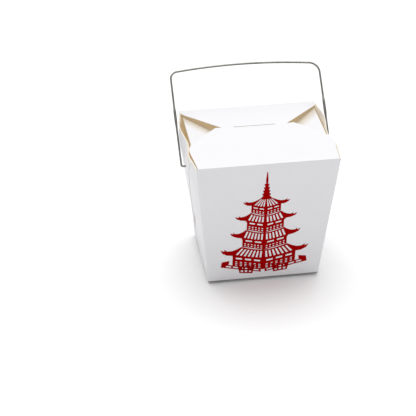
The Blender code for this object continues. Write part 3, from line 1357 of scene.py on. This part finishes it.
class WireSweep(ShapeGroup):
    """Sweeps a round section along a chain of edges."""

    name = "wire_sweep"
    inputs = {"Sides": "Int", "Gauge Scale": "Float"}
    sides = 20

    def shape(self, given: Signal) -> Signal:
        """Path to curve, round section with its angle stored, sweep and smooth shading.

        Args:
            given: the group's inputs.

        Returns:
            The swept wire.
        """
        tree = self.tree
        curve = tree.add("GeometryNodeMeshToCurve", {}, {"Mesh": given})
        values = {"Resolution": given.of("Sides"), "Radius": 1.0}
        section = tree.add("GeometryNodeCurvePrimitiveCircle", {"mode": "RADIUS"}, values)
        factor = tree.add("GeometryNodeSplineParameter", out="Factor")
        section = tree.add(
            "GeometryNodeStoreNamedAttribute",
            {"data_type": "FLOAT", "domain": "POINT"},
            {"Geometry": section, "Name": "around", "Value": factor},
        )
        values = {"Name": "gauge"}
        settings = {"data_type": "FLOAT"}
        gauge = tree.add("GeometryNodeInputNamedAttribute", settings, values, "Attribute")
        values = {"Curve": curve, "Profile Curve": section, "Fill Caps": True}
        values["Scale"] = gauge * given.of("Gauge Scale")
        swept = tree.add("GeometryNodeCurveToMesh", {}, values)
        return tree.add("GeometryNodeSetShadeSmooth", {}, {"Geometry": swept})

    def sweep(
        self, name: str, path: Sequence[tuple[Vector, float]], finish: bpy.types.Material
    ) -> bpy.types.Object:
        """Sweeps the section along a path.

        Args:
            name: the piece's name.
            path: (point, radius) along it.
            finish: its material.

        Returns:
            The swept piece, as a plain mesh.
        """
        mesh = bpy.data.meshes.new(name)
        chain = [(i, i + 1) for i in range(len(path) - 1)]
        mesh.from_pydata([p for p, _ in path], chain, [])
        gauge = mesh.attributes.new("gauge", "FLOAT", "POINT")
        gauge.data.foreach_set("value", [r for _, r in path])
        made = self.run(name, mesh, {"Sides": self.sides, "Gauge Scale": 1.0, "Finish": finish})
        made.data.set_sharp_from_angle(angle=WIRE_SHARP)
        return made


@dataclass
class WireHandle:
    """The wire: two legs, a bowed bar and a hook at each end that turns in the gussets."""

    radius: float = 0.00075
    pivot_z: float = 0.0855
    slide: float = -0.00035
    lean: float = math.radians(48)
    leg_x: float = 0.0581
    leg_top_x: float = 0.0586
    leg_length: float = 0.0771
    bow: float = 0.0036
    corner_r: float = 0.0085
    left_corner_r: float = 0.0060
    hook_x: float = 0.0514
    hook_length: float = 0.0070
    hook_r: float = 0.0012
    tip_share: float = 0.72
    tip_bevel: float = 0.0002
    swage_at: float = 0.040
    swage_length: float = 0.014
    swage_radius: float = 0.00105
    swage_fade: Point2 = (0.3, 0.6)
    hook_steps: int = 8
    leg_steps: int = 40
    bend_steps: int = 16
    bar_steps: int = 24

    def bar_point(self, x: float) -> Vector:
        """A point of the bowed bar, in X and the distance up the leg."""
        end = ((self.leg_top_x - self.corner_r) / self.leg_top_x) ** 2
        return Vector((x, self.leg_length + self.bow * (end - (x / self.leg_top_x) ** 2)))

    @staticmethod
    def arc(centre: Vector, start: Vector, end: Vector, steps: int) -> list[Vector]:
        """Points on the short arc from start to end.

        Args:
            centre: the arc's centre.
            start: its first point.
            end: its last point.
            steps: how many steps it has.

        Returns:
            The points, both ends included.
        """
        a, b = start - centre, end - centre
        turn = a.angle(b)
        shares = [k / steps for k in range(steps + 1)]
        return [
            centre + (a * math.sin(turn * (1 - t)) + b * math.sin(turn * t)) / math.sin(turn)
            for t in shares
        ]

    def half(self, bend_r: float) -> list[tuple[Vector, float]]:
        """One half of the wire, as if it were the right one.

        Args:
            bend_r: the radius of its upper corner.

        Returns:
            (point, radius) along it, in X and the distance up the leg.
        """
        r, thin = self.hook_r, self.radius
        path = [(Vector((self.hook_x, self.hook_length)), thin * self.tip_share)]
        for s in (self.hook_length - self.tip_bevel, self.hook_length / 2):
            path.append((Vector((self.hook_x, s)), thin))
        inner = [(self.hook_x + r, r), (self.hook_x, r), (self.hook_x + r, 0)]
        outer = [(self.leg_x - r, r), (self.leg_x - r, 0), (self.leg_x, r)]
        for centre, start, end in (inner, outer):
            bend = self.arc(Vector(centre), Vector(start), Vector(end), self.hook_steps)
            path += [(p, thin) for p in bend]
        corner_s = self.leg_length - bend_r
        for k in range(1, self.leg_steps + 1):
            s = r + (corner_s - r) * k / self.leg_steps
            x = self.leg_top_x - (self.leg_top_x - self.leg_x) * (1 - s / self.leg_length) ** 2
            off = abs(s - self.swage_at) / self.swage_length
            near = 1 - smooth(off, *self.swage_fade)
            path.append((Vector((x, s)), thin + (self.swage_radius - thin) * near))
        bar_x = self.leg_top_x - bend_r
        centre = Vector((bar_x, corner_s))
        bend = self.arc(centre, path[-1][0], self.bar_point(bar_x), self.bend_steps)
        path += [(p, thin) for p in bend[1:]]
        for k in range(1, self.bar_steps + 1):
            path.append((self.bar_point(bar_x * (1 - k / self.bar_steps)), thin))
        return path

    def build(self, palette: Palette, sweep: WireSweep) -> bpy.types.Object:
        """Builds the handle where it leans.

        Args:
            palette: the shared materials.
            sweep: the node group that sweeps the wire.

        Returns:
            The finished piece.
        """
        right = self.half(self.corner_r)
        left = [(Vector((-p.x, p.y)), r) for p, r in reversed(self.half(self.left_corner_r)[:-1])]
        up = Vector((0, math.sin(self.lean), math.cos(self.lean)))
        pivot = Vector((self.slide, 0, self.pivot_z))
        path = [(pivot + Vector((p.x, 0, 0)) + up * p.y, r) for p, r in right + left]
        return sweep.sweep("bent_wire", path, palette.wire)


# Printed tower


@dataclass(frozen=True)
class Bars:
    """A panel of printed bars between a top line and a foot line, in millimetres."""

    top: Edge
    foot: Edge
    columns: int
    rows: int
    bar_across: float
    bar_up: float
    bow: float = 0.0


class InkPanel(ShapeGroup):
    """Lays a grid of ink bars between four corners."""

    name = "ink_panel"
    inputs = {
        "Columns": "Int",
        "Rows": "Int",
        "Bar Across": "Float",
        "Bar Up": "Float",
        "Bow": "Float",
        "Top Start": "Vector",
        "Top End": "Vector",
        "Foot Start": "Vector",
        "Foot End": "Vector",
    }

    @staticmethod
    def place(line: Signal, bar: Signal, count: Signal) -> Signal:
        """Where a grid line lies between 0 and 1, from its number.

        Args:
            line: the line's number.
            bar: the width of one bar.
            count: how many gaps there are.

        Returns:
            The line's place.
        """
        gap = (1.0 - (count + 1.0) * bar) / count
        return (line * 0.5).floor() * (bar + gap) + (line % 2.0) * bar

    def between(self, share: Signal, a: Signal, b: Signal) -> Signal:
        """The point at that share of the way from a to b."""
        settings = {"data_type": "VECTOR", "factor_mode": "UNIFORM"}
        values = {"Factor_Float": share, "A_Vector": a, "B_Vector": b}
        return self.tree.add("ShaderNodeMix", settings, values, "Result_Vector")

    def shape(self, given: Signal) -> Signal:
        """Grid, open cells and placing between the four corners.

        Args:
            given: the group's inputs.

        Returns:
            The panel, flat in X and Y.
        """
        tree = self.tree
        columns, rows = given.of("Columns"), given.of("Rows")
        values = {"Size X": 1.0, "Size Y": 1.0}
        values["Vertices X"] = columns * 2.0 + 2.0
        values["Vertices Y"] = rows * 2.0 + 2.0
        grid = tree.add("GeometryNodeMeshGrid", {}, values)
        spot = tree.add("GeometryNodeInputPosition")
        x = tree.add("ShaderNodeSeparateXYZ", {}, {0: spot}, "X")
        cell_x = (x + 0.5) * (columns * 2.0 + 1.0)
        cell_y = (x.of("Y") + 0.5) * (rows * 2.0 + 1.0)
        is_open = ((cell_x.floor() % 2.0) * (cell_y.floor() % 2.0)).above(0.5)
        values = {"Geometry": grid, "Selection": is_open}
        barred = tree.add("GeometryNodeDeleteGeometry", {"domain": "FACE"}, values)
        u = self.place((cell_x + 0.5).floor(), given.of("Bar Across"), columns)
        v = self.place((cell_y + 0.5).floor(), given.of("Bar Up"), rows)
        foot = self.between(u, given.of("Foot Start"), given.of("Foot End"))
        top = self.between(u, given.of("Top Start"), given.of("Top End"))
        sag = tree.add("ShaderNodeCombineXYZ", {}, {"Y": u * (1.0 - u) * given.of("Bow") * -4.0})
        values = {"Geometry": barred, "Position": self.between(v, foot, top), "Offset": sag}
        return tree.add("GeometryNodeSetPosition", {}, values)

    def lay(self, panel: Bars, ink: bpy.types.Material) -> bpy.types.Mesh:
        """Lays one panel flat.

        Args:
            panel: its corners and bars, in millimetres on the face.
            ink: its material.

        Returns:
            A flat mesh in X and Y.
        """
        values = {
            "Columns": panel.columns,
            "Rows": panel.rows,
            "Bar Across": panel.bar_across,
            "Bar Up": panel.bar_up,
            "Bow": panel.bow,
            "Finish": ink,
        }
        for name, edge in (("Top", panel.top), ("Foot", panel.foot)):
            values[f"{name} Start"] = (*edge[0], 0.0)
            values[f"{name} End"] = (*edge[1], 0.0)
        made = self.run("panel", bpy.data.meshes.new("panel"), values)
        mesh = made.data
        bpy.data.objects.remove(made)
        return mesh


@dataclass(frozen=True)
class Storey:
    """One storey and its roof on the right-hand side of the tower, in millimetres.

    Every line runs from the corner post to the far end, and the horn runs round the upturned
    end of the roof, from the ridge to the eave.
    """

    ridge: Edge
    eave: Edge
    horn: tuple[Point2, ...]
    wall_foot: Edge
    tiles: int
    panes: int
    rows: int
    shutters: int


@dataclass
class TowerPrint:
    """A four-roofed tower in one red ink, seen corner-on.

    The drawing is in millimetres, and the ink's height is in metres. The tile, shutter and
    pane bars are the inked shares across and up. ring_half and ring_z are the first ring's
    value and the step to the next ring.
    """

    form: PailForm
    middle: float = -0.9
    left_share: float = 0.96
    ink_height: float = 0.00004
    film: float = 1.6
    shape_proud: float = 1.2
    longest: float = 5.0
    cuts: int = 2
    tile_bars: Point2 = (0.54, 0.15)
    tile_bow: float = 0.7
    shutter_bars: Point2 = (0.40, 0.33)
    shutter_foot: float = 0.44
    pane_bars: Point2 = (0.60, 0.62)
    eave_band: Point2 = (0.2, -1.0)
    far_post: Point2 = (-1.0, 0.2)
    post_slant: float = 0.3
    post_half: float = 0.75
    terrace: tuple[Bars, ...] = (
        Bars(((0.6, 10.4), (32.6, 18.0)), ((0.6, 7.2), (32.6, 14.4)), 4, 1, 0.05, 0.32),
        Bars(((5.6, 14.6), (19.4, 13.8)), ((7.4, 6.4), (18.0, 7.6)), 3, 2, 0.13, 0.17),
    )
    terrace_end: tuple[Point2, ...] = (
        (26.4, 20.6), (32.6, 19.6), (33.4, 14.6), (30.6, 14.0), (27.0, 17.2),
    )
    rings: int = 5
    ring_half: Point2 = (3.6, -0.46)
    ring_z: Point2 = (78.0, 2.9)
    ring_outline: tuple[Point2, ...] = ((0.0, 0.0), (0.0, 1.4), (-1.0, 1.7), (-1.0, 2.7))
    spire_tip: tuple[Point2, ...] = ((0.85, 92.6), (0.95, 94.4), (0.65, 97.6), (0.38, 101.6))
    storeys: tuple[Storey, ...] = (
        Storey(
            ((-0.9, 78.6), (2.6, 78.8)),
            ((-0.9, 68.9), (10.6, 71.9)),
            ((5.0, 77.3), (7.8, 75.9), (10.8, 75.1), (13.4, 75.3), (15.3, 76.4), (15.0, 75.0),
             (17.3, 75.6), (16.2, 73.9), (13.6, 72.3)),
            ((-0.9, 61.6), (10.4, 65.3)),
            4, 4, 2, 2,
        ),
        Storey(
            ((-0.9, 61.6), (10.9, 65.3)),
            ((-0.9, 54.4), (14.6, 58.1)),
            ((13.0, 63.6), (15.6, 62.3), (18.6, 61.8), (20.4, 62.9), (20.3, 61.5), (23.4, 62.4),
             (22.0, 60.3), (18.8, 58.8)),
            ((-0.9, 45.4), (13.4, 49.5)),
            5, 5, 2, 2,
        ),
        Storey(
            ((-0.9, 45.4), (14.0, 49.5)),
            ((-0.9, 37.4), (17.3, 41.6)),
            ((16.6, 47.5), (19.6, 46.3), (22.6, 46.3), (24.3, 47.8), (24.1, 46.2), (26.7, 47.2),
             (25.4, 44.6), (21.6, 42.6)),
            ((-0.9, 28.9), (16.4, 33.4)),
            6, 6, 2, 2,
        ),
        Storey(
            ((-0.9, 28.9), (17.0, 33.4)),
            ((-0.9, 20.0), (24.2, 25.4)),
            ((20.6, 31.4), (24.6, 29.9), (28.4, 30.0), (31.2, 31.8), (30.8, 30.0), (34.0, 31.3),
             (32.2, 28.0), (28.4, 25.9)),
            ((-0.9, 9.6), (23.8, 15.4)),
            7, 6, 3, 3,
        ),
    )

    @staticmethod
    def eave_z(storey: Storey, x: float) -> float:
        """Height of a storey's eave at x, no further out than its end."""
        (x0, z0), (x1, z1) = storey.eave
        return z0 + (z1 - z0) * min(1.0, (x - x0) / (x1 - x0))

    def bars(self) -> list[Bars]:
        """Every panel of bars on the right-hand side: tiles, shutters, panes and terrace.

        Returns:
            The panels.
        """
        made = []
        for s in self.storeys:
            across, up = self.tile_bars
            across /= s.tiles + 1
            made.append(Bars(s.ridge, s.eave, s.tiles, 1, across, up, self.tile_bow))
            wall_x = s.wall_foot[1][0]
            top = (s.eave[0], (wall_x, self.eave_z(s, wall_x)))
            lines = zip(top, s.wall_foot)
            mid = tuple(tuple(a + (b - a) * self.shutter_foot for a, b in zip(*ab)) for ab in lines)
            across, up = self.shutter_bars
            made.append(Bars(top, mid, s.shutters, 1, across / (s.shutters + 1), up))
            across, up = self.pane_bars
            across, up = across / (s.panes + 1), up / (s.rows + 1)
            made.append(Bars(mid, s.wall_foot, s.panes, s.rows, across, up))
        return made + list(self.terrace)

    def shapes(self) -> list[list[Point2]]:
        """Solid shapes of the right-hand side: horns, eaves, far posts and the terrace's end.

        Returns:
            The outline of each.
        """
        made = []
        for s in self.storeys:
            made.append([s.ridge[1], *s.horn, s.eave[1]])
            (x0, z0), (x1, z1) = s.eave
            up, down = self.eave_band
            made.append([(x0, z0 + up), (x1, z1 + up), (x1, z1 + down), (x0, z0 + down)])
            x, z = s.wall_foot[1]
            top = self.eave_z(s, x)
            inner, outer = x + self.far_post[0], x + self.far_post[1]
            made.append([(inner, top), (outer, top), (outer, z), (inner, z - self.post_slant)])
        return [*made, list(self.terrace_end)]

    def middle_shapes(self) -> list[list[Point2]]:
        """Solid shapes on the tower's own centre line: spire and corner posts.

        Returns:
            The outline of each.
        """
        m = self.middle
        rings = []
        for k in range(self.rings):
            half = self.ring_half[0] + self.ring_half[1] * k
            z = self.ring_z[0] + self.ring_z[1] * k
            rings += [(half + w, z + up) for w, up in self.ring_outline]
        rings += self.spire_tip
        made = [[(m + w, z) for w, z in rings] + [(m - w, z) for w, z in reversed(rings)]]
        for s in self.storeys:
            high, low = s.eave[0][1], s.wall_foot[0][1]
            left, right = m - self.post_half, m + self.post_half
            made.append([(left, high), (right, high), (right, low), (left, low)])
        return made

    def on_face(self, x: float, z: float, face: Face, proud: float) -> Vector:
        """A point of the print on a wide face.

        Args:
            x: across the face, in metres, seen from outside.
            z: height, in metres.
            face: which wide face.
            proud: how far it stands off the board.

        Returns:
            The point.
        """
        form = self.form
        out = form.corner_y(z) + form.wave(-face.value * x, z)
        slope = math.atan((form.top_d - form.base_d) / 2 / form.height)
        out += proud * math.cos(slope)
        return Vector((-face.value * x, face.value * out, z - proud * math.sin(slope)))

    def build(self, palette: Palette, panel: InkPanel, face: Face) -> bpy.types.Object:
        """Builds the print on one wide face.

        Args:
            palette: the shared materials.
            panel: the node group that lays the bars.
            face: which wide face it is on.

        Returns:
            The finished piece.
        """
        flat = bmesh.new()
        halves = (1.0, -self.left_share)
        for bars in self.bars():
            right = panel.lay(bars, palette.ink)
            for share in halves:
                before = len(flat.verts)
                flat.from_mesh(right)
                flat.verts.ensure_lookup_table()
                for v in flat.verts[before:]:
                    v.co.x = self.middle + (v.co.x - self.middle) * share
            bpy.data.meshes.remove(right)
        outlines = [
            [(self.middle + (x - self.middle) * share, z) for x, z in shape]
            for shape in self.shapes()
            for share in halves
        ]
        for outline in outlines + self.middle_shapes():
            flat.faces.new([flat.verts.new((x, z, self.shape_proud)) for x, z in outline])
        bmesh.ops.triangulate(flat, faces=[f for f in flat.faces if len(f.verts) > 4])
        long_edges = [e for e in flat.edges if e.calc_length() > self.longest]
        bmesh.ops.subdivide_edges(flat, edges=long_edges, cuts=self.cuts)
        for v in flat.verts:
            proud = self.ink_height * max(1.0, v.co.z)
            v.co = self.on_face(v.co.x * MM, v.co.y * MM, face, proud)
        flat.normal_update()
        for f in flat.faces:
            if f.normal.y * face.value < 0:
                f.normal_flip()
        made = as_object(f"{face.name.lower()}_tower_print", flat, [palette.ink])
        film = made.modifiers.new("film", "SOLIDIFY")
        film.thickness = self.ink_height * self.film
        film.offset = -1
        bake(made)
        return made


# Studio


@dataclass
class Studio:
    """Floor, light and the camera at the photograph's viewing angle."""

    azimuth: float = math.radians(-8.988)
    elevation: float = math.radians(31.867)
    roll: float = math.radians(0.155)
    distance: float = 1.1493
    focal: float = 3.5633
    target: Point3 = (-0.0380, 0.0, 0.0464)
    sensor: float = 36.0
    clip_end: float = 50.0
    floor_half: float = 3.0
    floor_z: float = -0.0006
    sky: float = 0.49
    sun: float = 2.3
    sun_spread: float = math.radians(60)
    sun_from: Point3 = (0.02, 0.26, 1.0)

    def camera(self) -> None:
        """Sets up the camera."""
        az, el = self.azimuth, self.elevation
        back = Vector((math.sin(az) * math.cos(el), -math.cos(az) * math.cos(el), math.sin(el)))
        right = (-back).cross(Vector((0, 0, 1))).normalized()
        up = right.cross(-back)
        turned_right = right * math.cos(self.roll) + up * math.sin(self.roll)
        turned_up = up * math.cos(self.roll) - right * math.sin(self.roll)
        place = Matrix((turned_right, turned_up, back)).transposed().to_4x4()
        place.translation = Vector(self.target) + back * self.distance
        data = bpy.data.cameras.new("camera")
        data.sensor_width = self.sensor
        data.lens = self.focal * self.sensor
        data.clip_end = self.clip_end
        made = linked("camera", data)
        made.matrix_world = place
        bpy.context.scene.camera = made

    def floor(self, palette: Palette) -> None:
        """Lays the floor just under the pail.

        Args:
            palette: the shared materials.
        """
        h, z = self.floor_half, self.floor_z
        mesh = bpy.data.meshes.new("floor")
        mesh.from_pydata([(-h, -h, z), (h, -h, z), (h, h, z), (-h, h, z)], [], [(0, 1, 2, 3)])
        mesh.materials.append(palette.floor)
        floor = linked("floor", mesh)

    def lights(self) -> None:
        """Hangs one broad light above and behind the box, in a pale room."""
        world = bpy.data.worlds.new("room")
        bpy.context.scene.world = world
        world.use_nodes = True
        tree = Tree(world.node_tree)
        values = {"Color": (1.0, 1.0, 1.0, 1.0), "Strength": self.sky}
        sky = tree.add("ShaderNodeBackground", {}, values)
        tree.add("ShaderNodeOutputWorld", {}, {"Surface": sky})
        data = bpy.data.lights.new("overhead", "SUN")
        data.energy = self.sun
        data.angle = self.sun_spread
        made = linked("overhead", data)
        made.rotation_euler = Vector(self.sun_from).to_track_quat("Z", "Y").to_euler()
        bpy.context.scene.view_settings.view_transform = "Standard"


def main() -> None:
    """Builds every piece in order, then the studio."""
    logging.basicConfig(level=logging.INFO, format="%(name)s: %(message)s")
    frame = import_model()
    LOG.info("frame with nodes %s", ", ".join(frame["nodes"]))

    form = PailForm()
    palette = Palette()
    narrow = NarrowWalls(form).build(palette)
    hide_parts("carton")
    board = [narrow, FrontWrap(form).build(palette), BackWrap(form).build(palette)]
    panel = InkPanel()
    tower = TowerPrint(form)
    prints = [tower.build(palette, panel, face) for face in Face]
    for piece in board + prints:
        settle(piece, BodyName.BOX)

    wire = WireHandle().build(palette, WireSweep())
    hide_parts("wire_handle")
    settle(wire, BodyName.HANDLE)

    studio = Studio()
    studio.floor(palette)
    studio.lights()
    studio.camera()
    LOG.info("studio ready")


if __name__ == "__main__":
    main()
